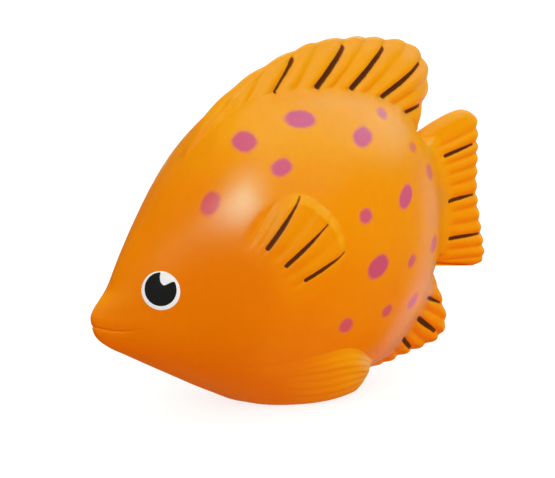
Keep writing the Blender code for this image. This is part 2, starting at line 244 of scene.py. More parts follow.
# ============================================================ mesh helpers
def mesh_object(name, verts, faces, extra=None, sharp=None, merge=0.0):
    """A mesh from drawing coordinates. Its paint is kept on its points, so that it moves with the skin."""
    verts = np.asarray(verts, float)
    me = bpy.data.meshes.new(name)
    me.from_pydata(to_part(verts).tolist(), [], [tuple(int(i) for i in f) for f in faces])
    layer = me.attributes.new("rest", "FLOAT_VECTOR", "POINT")
    layer.data.foreach_set("vector", verts.astype(np.float32).ravel())
    paint = spray(verts)
    # the attribute "up" holds painted light: how much a point looks towards the lamps
    for key, value in (("across", 9.0), ("beyond", 0.0), ("along", 0.0), ("ink", 0.4), ("up", 0.0), ("dull", 0.0)):
        paint[key] = np.full(len(verts), value)
    paint.update(extra or {})
    for key, values in paint.items():
        layer = me.attributes.new(key, "FLOAT", "POINT")
        layer.data.foreach_set("value", np.asarray(values, np.float32).ravel())
    bm = bmesh.new()
    bm.from_mesh(me)
    if merge:
        bmesh.ops.remove_doubles(bm, verts=bm.verts, dist=merge * UNIT)
        bmesh.ops.dissolve_degenerate(bm, edges=bm.edges, dist=1e-8)
    bmesh.ops.recalc_face_normals(bm, faces=bm.faces)
    bm.to_mesh(me)
    bm.free()
    me.shade_smooth()
    if sharp:
        me.set_sharp_from_angle(angle=math.radians(sharp))
    ob = bpy.data.objects.new(name, me)
    bpy.context.scene.collection.objects.link(ob)
    return ob


def grid_faces(n, m, start=0, flip=False):
    i, j = np.meshgrid(np.arange(n - 1), np.arange(m - 1), indexing="ij")
    a = (start + i * m + j).ravel()
    f = np.stack([a, a + m, a + m + 1, a + 1], -1)
    return (f[:, ::-1] if flip else f).tolist()


def border_of(n, m, start=0):
    return ([start + i * m for i in range(n)] + [start + (n - 1) * m + j for j in range(1, m)]
            + [start + i * m + m - 1 for i in range(n - 2, -1, -1)] + [start + j for j in range(m - 2, 0, -1)])


def slab(name, top, under, extra=None, sharp=None, merge=0.0):
    """Closed solid between two grids of points of the same shape (n, m, 3)."""
    n, m = top.shape[:2]
    verts = np.concatenate([top.reshape(-1, 3), under.reshape(-1, 3)])
    k = n * m
    faces = grid_faces(n, m) + grid_faces(n, m, k, True)
    ring = border_of(n, m)
    for a, b in zip(ring, ring[1:] + ring[:1]):
        faces.append((b, a, k + a, k + b))
    both = {key: np.concatenate([np.ravel(v), np.ravel(v)]) for key, v in (extra or {}).items()}
    return mesh_object(name, verts, faces, both, sharp, merge)


def grid_normals(p):
    n = np.cross(np.gradient(p, axis=0), np.gradient(p, axis=1))
    return n / np.maximum(np.linalg.norm(n, axis=-1, keepdims=True), 1e-12)


def facing_light(p):
    """Painted light: how much each point of a grid on the left side looks up and back, towards the lamps; the skin is
    painted yellower and lighter there, and redder and darker where it looks away, in place of light and shade.
    """
    n = grid_normals(p)
    return n @ np.array([0.45, -0.1, 0.88]) * (1 if np.sum(n[..., 1]) < 0 else -1)


def sided(p, s):
    q = np.array(p, float)
    q[..., 1] *= s
    return q


def nearest_stripe(u, step, reach, paint):
    """Where each point lies on the nearest painted groove, and how wide the paint is there."""
    across, beyond, along, ink = np.full(u.shape, 9.0), np.zeros(u.shape), np.zeros(u.shape), np.full(u.shape, 0.4)
    for number, start, end, w0, w1 in paint:
        a = (u - number) * step
        near = np.abs(a) < np.abs(across)
        f = np.clip((reach - start) / (end - start), 0, 1)
        across = np.where(near, a, across)
        beyond = np.where(near, np.maximum(np.maximum(start + w0 - reach, reach - end + w1), 0), beyond)
        along = np.where(near, f, along)
        ink = np.where(near, w0 + (w1 - w0) * smooth(0.35, 1.0, f), ink)
    return {"across": np.abs(across), "beyond": beyond, "along": along, "ink": ink}


def straight_stripes(x, z, ribs, base, paint):
    """The same for straight lines in the middle plane."""
    across, beyond, along, ink = np.full(x.shape, 9.0), np.zeros(x.shape), np.zeros(x.shape), np.full(x.shape, 0.4)
    for number, start, end, w0, w1 in paint:
        root, tip = (np.array(v, float) for v in next(r[:2] for r in ribs if r[2] == number))
        e = (tip - root) / np.linalg.norm(tip - root)
        a = (x - root[0]) * -e[1] + (z - root[1]) * e[0]
        reach = (x - root[0]) * e[0] + (z - root[1]) * e[1] - base[number]
        past = np.maximum(np.maximum(start + w0 - reach, reach - end + w1), 0)
        near = np.hypot(a, past) < np.hypot(across, beyond)
        f = np.clip((reach - start) / (end - start), 0, 1)
        across, beyond, along = np.where(near, a, across), np.where(near, past, beyond), np.where(near, f, along)
        ink = np.where(near, w0 + (w1 - w0) * smooth(0.35, 1.0, f), ink)
    return {"across": np.abs(across), "beyond": beyond, "along": along, "ink": ink}


# ============================================================ the body, in two moulded halves
def mouth_line(y):
    """Height of the mouth on the snout, by the distance from the middle plane."""
    return -13.4 - 0.95 * smooth(0, 3.2, y) + 0.95 * smooth(3.2, 8.5, y)


def fan_polar(x, z):
    return np.degrees(np.arctan2(z - FAN[1], x - FAN[0])), np.hypot(x - FAN[0], z - FAN[1])


def body_shape():
    """The left half of the skin as a grid, with its parting line in the middle plane."""
    rings = 128
    n = 2 * rings + 1
    # rings get closer towards the parting line
    y_turn = 1.6 / (HALF_WIDTH * ROUND)
    inner = np.linspace(0, math.pi / 2 - y_turn, rings - 9)
    radial = np.concatenate([inner, math.pi / 2 - y_turn * np.linspace(1, 0, 11)[1:]])
    a, b = np.meshgrid(np.linspace(-1, 1, n), np.linspace(-1, 1, n), indexing="ij")
    wide = np.abs(a) >= np.abs(b)
    r = np.where(wide, np.abs(a), np.abs(b))
    safe_a, safe_b = np.where(a == 0, 1e-9, a), np.where(b == 0, 1e-9, b)
    turn = np.where(wide, math.pi / 4 * b / safe_a + np.where(a < 0, math.pi, 0),
                    math.pi / 2 - math.pi / 4 * a / safe_b + np.where(b < 0, math.pi, 0))
    turn = np.where(r < 1e-9, 0, np.mod(turn, 2 * math.pi))
    # more columns at the snout
    snout = math.atan2(-12.5, -43.0) % (2 * math.pi)
    grid = np.linspace(0, 2 * math.pi, 2001)
    near = np.abs((grid - snout + math.pi) % (2 * math.pi) - math.pi)
    mass = np.concatenate([[0], np.cumsum(1 + 1.6 * np.exp(-(near[:-1] / 0.22) ** 2))])
    ang = np.interp(turn, mass / mass[-1] * 2 * math.pi, grid)
    alpha = np.interp(r * rings, np.arange(rings + 1), radial)
    level = np.sin(alpha)
    rad = ring_radius(ang, level) * level
    x, z = CENTRE[0] + rad * np.cos(ang), CENTRE[1] + rad * np.sin(ang)
    y = np.where(r >= 1, 0.0, section(level, x))
    # shallow pits under the side fin and the eye, which are pieces of their own
    deg, far = fan_polar(x, z)
    pit = smooth(65.3, 63.3, deg) * smooth(15.6, 19.0, deg) * smooth(20.6, 22.2, far) * smooth(40.2, 39.0, far)
    y = y - 1.5 * pit * (level < 0.96)
    e = np.hypot((x - EYE_AT[0]) / 0.79, z - EYE_AT[1])
    y = y - 0.4 * smooth(EYE_R - 0.35, EYE_R - 1.0, e)
    p = np.stack([x, y, z], -1)
    # lips and mouth, pushed along the surface
    nrm = grid_normals(p)
    nrm *= np.sign(np.sum(nrm * (p - np.array([CENTRE[0], 0, CENTRE[1]])), -1, keepdims=True))
    h = p[..., 2] - mouth_line(p[..., 1])
    run = (0.25 + 0.75 * smooth(6.0, 3.0, p[..., 1])) * smooth(8.6, 6.0, p[..., 1]) * smooth(-33, -37, p[..., 0])
    soft = smooth(10.5, 4.0, p[..., 1]) * smooth(-33, -39, p[..., 0])
    push = (-0.20 * np.exp(-(h / 0.30) ** 2) * run
            + 0.12 * np.exp(-((h - 1.9) / 1.3) ** 2) * soft
            + 0.04 * np.exp(-((h + 1.3) / 0.9) ** 2) * run)
    p = p + nrm * push[..., None]
    p[..., 1] = np.where(r >= 1, 0.0, np.maximum(p[..., 1], 0.0))
    p[..., 2] = flat_base(p[..., 2])
    p[..., 1] *= -1
    # with the painted light of each point: how much it looks towards the lamps
    return p, facing_light(p)


def body_half(side, p, up):
    s = -1 if side == "left" else 1
    n = len(p)
    verts = sided(p, -s).reshape(-1, 3)
    faces = grid_faces(n, n, 0, s > 0)
    # the middle plane closes the half: rings inside the parting line
    ring = border_of(n, n)
    loop = verts[ring]
    mid = np.array([CENTRE[0], 0.0, CENTRE[1]])
    extra, previous, count = [], ring, len(verts)
    for share in (0.9, 0.6, 0.3):
        extra.append(mid + (loop - mid) * share)
        current = list(range(count, count + len(ring)))
        count += len(ring)
        for i in range(len(ring)):
            j = (i + 1) % len(ring)
            faces.append((previous[i], previous[j], current[j], current[i]))
        previous = current
    faces.append(tuple(previous))
    # the painted light of each point, kept under "up"
    painted_light_values = np.concatenate([up.ravel()] + [up.ravel()[ring]] * 3)
    return mesh_object("body_" + side, np.concatenate([verts] + extra), faces, {"up": painted_light_values}, sharp=55)


# ============================================================ fins in the middle plane
def median_fin(name, ribs, edge_t, root_t, live, depth, lobe, middle, paint, fillet, fade, run, hug, painted_light_shift, per=16):
    """A scalloped fin whose skirt runs out on the body. It is grooved between the two groove numbers of `live`;
    `fillet` gives groove numbers and how softly the fin grows out of the body there; `fade` is the distance from
    the body's outline over which the grooves begin; `run` is how far inside the outline the body's side begins
    to run straight on into the fin; `hug` is how far the skirt lies over the body; the last argument before `per`
    gives how much yellower the fin's painted light is than its turn tells, at mid height and for each unit up."""
    ribs = [r if len(r) == 3 else (*r, i) for i, r in enumerate(ribs)]
    root, tip = (spline([r[k] for r in ribs], per) for k in (0, 1))
    u = np.interp(np.linspace(0, len(ribs) - 1, len(root)), np.arange(len(ribs)), [r[2] for r in ribs])
    valley = np.abs(np.sin(math.pi * u))
    ray = (np.sqrt(valley ** 2 + 0.06) - 0.245) / (math.sqrt(1.06) - 0.245)
    on = smooth(live[0] - 1.2, live[0] + 0.8, u) * smooth(live[1] + 0.5, live[1] - 0.3, u)
    painted = np.zeros(len(u))
    for number, *_ in paint:
        painted = np.maximum(painted, smooth(0.75, 0.35, np.abs(u - number)))
    d = tip - root
    out = d / np.linalg.norm(d, axis=1, keepdims=True)
    tip = tip + out * (lobe * (ray - middle) * on)[:, None]
    base = []
    reach = np.linspace(-3, 5, 321)
    for p, e in zip(root, out):
        q = p + e * reach[:, None]
        r = np.hypot(q[:, 0] - CENTRE[0], q[:, 1] - CENTRE[1])
        a = np.arctan2(q[:, 1] - CENTRE[1], q[:, 0] - CENTRE[0])
        over = r - ring_radius(a, np.ones(len(a)))
        k = max(int(np.argmax(over > 0)), 1)
        base.append(reach[k - 1] - over[k - 1] * (reach[k] - reach[k - 1]) / (over[k] - over[k - 1]))
    base = np.array(base)
    full = np.maximum(np.linalg.norm(tip - root, axis=1), base + 0.25)
    tip = root + out * full[:, None]
    # where the fin tapers off, it sinks in
    foot = root + out * (base - 0.6 * smooth(2.2, 0.1, full - base))[:, None]
    step = np.array([[0.02, 0], [-0.02, 0], [0, 0.02], [0, -0.02]])
    r = [np.hypot(*(foot + e - CENTRE).T) - ring_radius(np.arctan2(*(foot + e - CENTRE).T[::-1]), np.ones(len(foot))) for e in step]
    inward = -np.stack([r[0] - r[1], r[2] - r[3]], -1)
    inward /= np.linalg.norm(inward, axis=1, keepdims=True)
    soft = np.interp(u, *zip(*fillet))
    skirt = np.maximum(1.2 + ((soft + root_t) / 19.2) ** 2 * 17.5, run + 2.5)
    def path(reach):
        """Columns of points; inside the body they turn towards the outline's own normal."""
        deep = np.maximum(-reach, 0)
        turned = np.where(deep < 5, np.clip(deep - 1, 0, None) ** 2 / 8, deep - 3)
        return [foot[:, k, None] + out[:, k, None] * (reach + turned) + inward[:, k, None] * turned for k in (0, 1)]

    # the skirt keeps to the part of the body that does not give way
    deep = np.linspace(0, 12, 121)
    wide = np.maximum.accumulate(half_width(*path(np.repeat(-deep[None, :], len(u), 0))), axis=1)
    skirt = np.minimum(skirt, [np.interp(FIRM, v, deep) for v in wide])
    knee = np.minimum(1.6, 0.35 * np.maximum(full - base, 0.05))
    va, vb = np.linspace(-1, 0, 34), np.sin(np.linspace(0, math.pi / 2, 30)[1:])
    vm = np.linspace(0, 1, 7)[1:]
    reach = np.concatenate([skirt[:, None] * va, knee[:, None] * vm,
                            knee[:, None] + (full - base - knee)[:, None] * vb], axis=1)
    x, z = path(reach)
    # thickness by the distance from the fin's own edge
    ends = [foot[k] + (np.array(CENTRE) - foot[k]) * 0.3 for k in (0, -1)]
    line = np.vstack([ends[0], tip, ends[1]])
    far = line_distance(x, z, line)
    t = np.sqrt(np.clip(1 - (1 - np.clip(far / edge_t, 0, 1)) ** 2, 0, 1)) * edge_t
    t = t + (root_t - edge_t) * 1.25 * (1 - np.exp(-np.maximum(far - edge_t * 0.6, 0) / 6.0))
    w = half_width(x, z)
    side = w
    if run:
        start = np.minimum(run, skirt - 0.5)[:, None]
        near, inside = (half_width(*path(-start - d)) for d in (0.0, 0.2))
        side = np.where(reach > -start, near - (inside - near) * 5 * (reach + start), w)
        side = w + (side - w) * smooth(0.0, 3.0, far)
    y = np.maximum(t, side)
    y = y + (smax(t, side, soft[:, None] * smooth(0.0, 2.6, far)) - y) * smooth(-0.97, -0.5, reach / skirt[:, None])
    # the grooves are cut into the fin and into the soft foot of it
    cut = (depth * (0.7 + 0.3 * painted) * (1 - ray) * on)[:, None] * smooth(*fade, reach) * np.clip(t / edge_t, 0, 1)
    y = np.where(y > w, np.maximum(y - cut, w + hug * (w > 0)), w + hug)
    # the border of the skirt dips into the body, so that no edge shows
    order = np.arange(len(u))
    dip = np.maximum(smooth(-0.65, -1.0, reach / skirt[:, None]), smooth(6, 0, np.minimum(order, order[::-1]))[:, None])
    y = y - 0.035 * dip * (w > 0)
    y[:, -1] = np.where(w[:, -1] > 0, y[:, -1], 0.0)
    z = flat_base(z)
    paint = straight_stripes(x, z, ribs, {r[2]: base[i * per] for i, r in enumerate(ribs)}, paint)
    left = np.stack([x, -y, z], -1)
    # painted light: near its borders the skirt takes the painted light of the body below it, from how the body faces
    # the lamps
    plain = side_normal(x, z) @ np.array([0.45, 0.1, 0.88])
    same = np.maximum(dip, smooth(1.2, 0.3, full - base)[:, None]) * (w > 0.4)
    # painted light from how the fin faces the lamps, shifted yellower at mid height and for each unit up
    up = facing_light(left)
    paint["up"] = up + (plain - up) * same + (painted_light_shift[0] + painted_light_shift[1] * z) * smooth(-2.0, 2.0, reach)
    return slab(name, left, sided(left, -1), paint, sharp=60, merge=0.004)


# ============================================================ reliefs on the sides
def pectoral():
    """Fan in low relief: its front edge is sunk, its upper and rear edges stand proud, its root runs out."""
    deg, far = np.meshgrid(np.linspace(69.0, 12.5, 200), np.linspace(17.4, 42.0, 140), indexing="ij")
    a = np.radians(deg)
    x, z = FAN[0] + far * np.cos(a), FAN[1] + far * np.sin(a)
    edge = spline(FAN_EDGE, 14)
    root = np.array([(-6.0, -8.0), (-14.0, -8.0), (-21.0, -4.0)])
    inside = in_loop(x, z, np.vstack([edge, root]))
    e, run = line_distance(x, z, edge, True)
    e = np.where(inside, 1, -1) * e
    rim = 1.25 * smooth(60.5, 51.0, deg) * smooth(19.0, 31.0, deg)
    rise = smooth(21.5, 40.0, far) ** 0.8
    curl = 1 - (1 - np.clip((e + 0.05) / 2.5, 0, 1)) ** 1.4
    bead = 0.14 * np.exp(-((e - 2.2) / 1.0) ** 2) * smooth(58.0, 48.0, deg) * smooth(24.0, 34.0, deg)
    h = (rim * curl + bead) * rise
    inner = smooth(-0.2, 0.9, e)
    for g, deep, wide, _ in FAN_GROOVES:
        arc = np.radians(deg - g) * far
        h = h - deep * np.exp(-(arc / wide) ** 2) * smooth(22.0, 25.5, far) * inner
    # the sunk front edge follows the fan's outline
    wide = np.where(e < 0.8, 0.75, 3.1)
    h = h - 0.30 * np.exp(-((e - 0.8) / wide) ** 2) * smooth(21.8, 27.5, far) * smooth(0.42, 0.22, run)
    border = smooth(69.0, 65.5, deg) * smooth(12.5, 15.5, deg) * smooth(17.4, 20.6, far) * smooth(42.0, 40.3, far)
    h = h * border + HUG - 0.03 * (1 - border)
    paint = [(51.5, 24.5, 37.9, 0.50, 0.16), (39.3, 24.3, 37.1, 0.50, 0.18), (27.5, 26.0, 37.1, 0.48, 0.20)]
    stripes = nearest_stripe(deg, np.radians(1) * far, far, paint)
    p, n = side_frame(x, z)
    top, under = (sided(p + n * v[..., None], -1) for v in (h, np.minimum(h - 0.5, -0.5) - 0.5))
    # painted light from how the fan faces the lamps; inside its edge, away from the root, it is painted yellower still
    stripes["up"] = facing_light(top) + 0.28 * smooth(-0.5, 2.0, e) * smooth(20.0, 30.0, far) * smooth(13.0, 27.0, deg)
    stripes["dull"] = 0.75 * smooth(-0.4, 1.2, e) * smooth(19.0, 26.0, far)
    return {side: slab("pectoral_fin_skin_" + side, sided(top, s), sided(under, s), stripes, sharp=60)
            for side, s in (("left", 1), ("right", -1))}


def pelvic():
    """Lobe that lies back along the belly, with fine grooves; the fish rests on the pair of them."""
    stations, steps = 150, 110
    x0 = np.linspace(-27.0, 18.8, stations)
    top_line = spline([(-27.0, -22.6), (-20.0, -22.6), (-14.0, -22.3), (-9.0, -21.8), (-4.0, -21.0), (0.5, -20.6), (5.0, -20.4),
                       (8.0, -20.9), (11.0, -22.3), (13.6, -24.0), (16.2, -26.0), (18.8, -28.0)], 12)
    z_top = np.interp(x0, top_line[:, 0], top_line[:, 1])
    share = np.linspace(0, 1, 220)[None, :]
    zz = z_top[:, None] + (-37.2 - z_top[:, None]) * share
    w = half_width(np.repeat(x0[:, None], 220, 1), zz)
    pz = np.zeros((stations, steps))
    for i in range(stations):
        last = max(int(np.argmax(w[i] < 4.0)), 2)
        run = np.concatenate([[0], np.cumsum(np.hypot(np.diff(zz[i, :last]), np.diff(w[i, :last])))])
        pz[i] = np.interp(np.linspace(0, run[-1], steps), run, zz[i, :last])
    px = np.repeat(x0[:, None], steps, 1)
    v = np.linspace(0, 1, steps)[None, :]
    p, n = side_frame(px, pz)
    arc = np.concatenate([np.zeros((stations, 1)), np.cumsum(np.hypot(np.diff(pz, axis=1), np.diff(p[..., 1], axis=1)), axis=1)], 1)
    # the rear end is round
    e = 17.3 - px - 3.2 * smooth(0.45, 1.0, v)
    close = np.sqrt(np.clip(1 - (1 - np.clip(e / 3.0, 0, 1)) ** 2, 0, 1))
    front = smooth(-27.0, -5.0, px)
    brow = 1.45 * smooth(0.0, 4.6, arc) * (0.2 + 0.8 * smooth(-8.0, 9.0, px))
    brow = brow + 1.15 * smooth(3.0, 12.0, arc) * (0.3 + 0.7 * smooth(-12.0, 4.0, px))
    h = brow * front * close * smooth(1.0, 0.78, v)
    for at, deep in ((0.08, 0.09), (0.15, 0.13), (0.23, 0.15), (0.32, 0.15), (0.42, 0.14), (0.53, 0.12), (0.65, 0.09)):
        line = at + 0.014 * (6.0 - px) / 6.0
        h = h - deep * np.exp(-((v - line) * 21.0 / 0.55) ** 2) * smooth(-9.0, 2.0, px) * smooth(1.2, 3.4, e) * close
    inner = smooth(0, 0.08, v) * smooth(1.0, 0.92, v) * smooth(-27.0, -23.0, px) * smooth(18.8, 17.8, px)
    h = np.maximum(h, 0) + HUG - 0.035 * (1 - inner)
    top, under = (sided(p + n * k[..., None], -1) for k in (h, np.full_like(h, -0.8)))
    # painted light from how the lobe faces the lamps, painted yellower towards the rear
    up = facing_light(top) + 0.40 * smooth(-10.0, 8.0, px)
    top[..., 2] = np.where(top[..., 2] < BASE_Z + 1.6, flat_base(top[..., 2]), top[..., 2])
    under[..., 2] = np.maximum(under[..., 2], BASE_Z + 0.3)
    return {side: slab("pelvic_fin_skin_" + side, sided(top, s), sided(under, s), {"up": up}, sharp=60)
            for side, s in (("left", 1), ("right", -1))}


# ============================================================ eyes
PUPIL_AT, PUPIL_R = (0.0, 0.34), (3.44, 3.58)
BITE = [(-0.04, 3.95), (-0.17, 3.2), (-0.16, 2.64), (0.13, 1.77), (0.74, 1.28), (1.43, 1.51), (2.30, 1.98), (3.0, 2.12)]


class Eye:
    """A flat patch of the head, and the low dome that lies on it."""

    def __init__(self):
        x, z = np.array([EYE_AT[0]]), np.array([EYE_AT[1]])
        self.n = side_normal(x, z)[0]
        self.at = np.array([x[0], half_width(x, z)[0], z[0]])
        self.e1, self.e2 = tangents(self.n)

    def surface(self, a, b, lift):
        """A point of the head under (a, b), lifted along the eye's own axis."""
        q = self.at + a[..., None] * self.e1 + b[..., None] * self.e2
        t = np.zeros(a.shape)
        for _ in range(12):
            p = q + t[..., None] * self.n
            t = t - (p[..., 1] - half_width(p[..., 0], p[..., 2])) * 0.8
        return q + (t + lift)[..., None] * self.n

    @staticmethod
    def dome(a, b):
        r = np.hypot(a, b) / EYE_R
        return 0.05 + 0.34 * np.sqrt(np.clip(1 - r ** 2.6, 0, 1))


def eye_patch(name, side, outline, centre, lift, depth, rings=18):
    """Closed patch on the eye inside an outline that can be seen whole from its centre."""
    s = -1 if side == "left" else 1
    eye = Eye()
    out = np.asarray(outline, float)
    c = np.asarray(centre, float)
    share = np.sin(np.linspace(0, math.pi / 2, rings + 1))[1:]
    ab = np.concatenate([[c]] + [c + (out - c) * k for k in share])
    a, b = ab[:, 0], ab[:, 1]
    rim = np.concatenate([[0.0]] + [np.full(len(out), k) for k in share])
    h = Eye.dome(a, b) + lift * np.sqrt(np.clip(1 - rim ** 8, 0, 1))
    top = eye.surface(a, b, h)
    low = eye.surface(out[:, 0], out[:, 1], Eye.dome(out[:, 0], out[:, 1]) - depth)
    mid = eye.surface(c[None, 0], c[None, 1], Eye.dome(c[None, 0], c[None, 1]) - depth)
    n = len(out)
    faces = [(0, 1 + i, 1 + (i + 1) % n) for i in range(n)]
    for k in range(rings - 1):
        for i in range(n):
            j = (i + 1) % n
            faces.append((1 + k * n + i, 1 + (k + 1) * n + i, 1 + (k + 1) * n + j, 1 + k * n + j))
    t = 1 + (rings - 1) * n
    b0 = len(top)
    for i in range(n):
        j = (i + 1) % n
        faces.append((t + i, b0 + i, b0 + j, t + j))
        faces.append((b0 + n, b0 + j, b0 + i))
    return mesh_object(name + "_" + side, sided(np.concatenate([top, low, mid]), s), faces, sharp=60)


def ellipse(at, radii, start=0.0, stop=2 * math.pi, count=180, closed=True):
    t = np.linspace(start, stop, count, endpoint=not closed)
    return np.stack([at[0] + radii[0] * np.cos(t), at[1] + radii[1] * np.sin(t)], -1)


def eyes(side):
    bite = spline(BITE, 12)
    on = [math.atan2((p[1] - PUPIL_AT[1]) / PUPIL_R[1], (p[0] - PUPIL_AT[0]) / PUPIL_R[0]) for p in bite]
    r = np.hypot((bite[:, 0] - PUPIL_AT[0]) / PUPIL_R[0], (bite[:, 1] - PUPIL_AT[1]) / PUPIL_R[1])
    keep = np.where(r < 1)[0]
    bite, first, last = bite[keep], on[keep[0]], on[keep[-1]]
    rest = ellipse(PUPIL_AT, PUPIL_R, first, last + 2 * math.pi, 170, closed=False)
    arc = ellipse(PUPIL_AT, PUPIL_R, last, first, 40, closed=False)
    gap = bite + (np.array([1.2, 2.6]) - bite) * 0.02
    white = eye_patch("eye_ball", side, ellipse((0, 0), (EYE_R, EYE_R)), (0, 0), 0.0, 0.7, 22)
    black = eye_patch("eye_pupil", side, np.vstack([rest[1:-1], bite[::-1]]), (-0.8, 0.0), 0.07, 0.12)
    shine = eye_patch("eye_glint", side, np.vstack([gap, arc[1:-1]]), (1.2, 2.6), 0.05, 0.12, 8)
    return white, black, shine


# ============================================================ build
SIDES = ("left", "right")
shape = body_shape()
halves = {side: body_half(side, *shape) for side in SIDES}
dorsal = median_fin("dorsal_fin_skin", DORSAL, 2.0, 5.6, (2.0, 12.4), 0.95, 0.50, 0.0, DORSAL_PAINT,
                    [(0, 7.0), (2.5, 6.5), (4.5, 2.6), (8, 2.6), (10, 3.6), (12, 4.5), (13, 3.0)], (-2.5, 0.3), 0.0,
                    0.006, (0.05, 0.0))
tail = median_fin("tail_fin_skin", TAIL, 1.7, 2.3, (0.6, 11.6), 0.55, 0.40, 0.45, TAIL_PAINT, [(0, 2.6), (13, 2.6)],
                  (0.5, 6.0), 4.0, 0.011, (0.10, 0.0095))
anal = median_fin("anal_fin_skin", ANAL, 1.8, 3.2, (1.2, 8.2), 0.60, 0.55, 0.2, ANAL_PAINT, [(0, 3.0), (9, 3.0)],
                  (-2.0, 2.0), 4.5, 0.012, (-0.17, 0.0))
pecs = pectoral()
pelvs = pelvic()
eye_sets = {side: eyes(side) for side in SIDES}


# ============================================================ looks
class Nodes:
    """Short names for the shader nodes of one material."""

    def __init__(self, name):
        self.mat = bpy.data.materials.new(name)
        self.mat.use_nodes = True
        self.tree = self.mat.node_tree
        self.shader = self.tree.nodes["Principled BSDF"]

    def put(self, socket, value):
        if isinstance(value, bpy.types.NodeSocket):
            self.tree.links.new(value, socket)
        elif value is not None:
            socket.default_value = value

    def node(self, kind, inputs=(), **settings):
        n = self.tree.nodes.new(kind)
        for key, value in settings.items():
            setattr(n, key, value)
        for key, value in dict(inputs).items():
            self.put(n.inputs[key], value)
        return n

    def attr(self, name, output="Fac"):
        return self.node("ShaderNodeAttribute", attribute_name=name).outputs[output]

    def math(self, op, a, b=None, c=None, clamp=False):
        n = self.tree.nodes.new("ShaderNodeMath")
        n.operation, n.use_clamp = op, clamp
        for i, v in enumerate((a, b, c)):
            self.put(n.inputs[i], v)
        return n.outputs[0]

    def ramp(self, value, low, high, to_low=0.0, to_high=1.0, kind="SMOOTHSTEP"):
        n = self.tree.nodes.new("ShaderNodeMapRange")
        n.interpolation_type = kind
        for i, v in enumerate((value, low, high, to_low, to_high)):
            self.put(n.inputs[i], v)
        return n.outputs[0]

    def noise(self, where, scale, detail=2.0, rough=0.5, output="Fac"):
        n = self.node("ShaderNodeTexNoise")
        for key, value in (("Vector", where), ("Scale", scale), ("Detail", detail), ("Roughness", rough)):
            self.put(n.inputs[key], value)
        return n.outputs[output]

    def mix(self, factor, a, b, kind="MIX"):
        n = self.tree.nodes.new("ShaderNodeMix")
        n.data_type, n.blend_type = "RGBA", kind
        for i, v in ((0, factor), (6, a), (7, b)):
            self.put(n.inputs[i], v)
        return n.outputs[2]

    def colours(self, value, stops):
        n = self.tree.nodes.new("ShaderNodeValToRGB")
        band = n.color_ramp
        band.interpolation = "EASE"
        while len(band.elements) < len(stops):
            band.elements.new(0.5)
        for e, (at, colour) in zip(band.elements, stops):
            e.position, e.color = at, (*colour, 1)
        self.put(n.inputs[0], value)
        return n.outputs[0]

    def bump(self, height, strength, distance, normal=None):
        n = self.node("ShaderNodeBump")
        for key, value in (("Strength", strength), ("Distance", distance), ("Height", height), ("Normal", normal)):
            if value is not None:
                self.put(n.inputs[key], value)
        return n.outputs[0]

    def finish(self, **values):
        for key, value in values.items():
            self.put(self.shader.inputs[key.replace("_", " ")], value)
        return self.mat


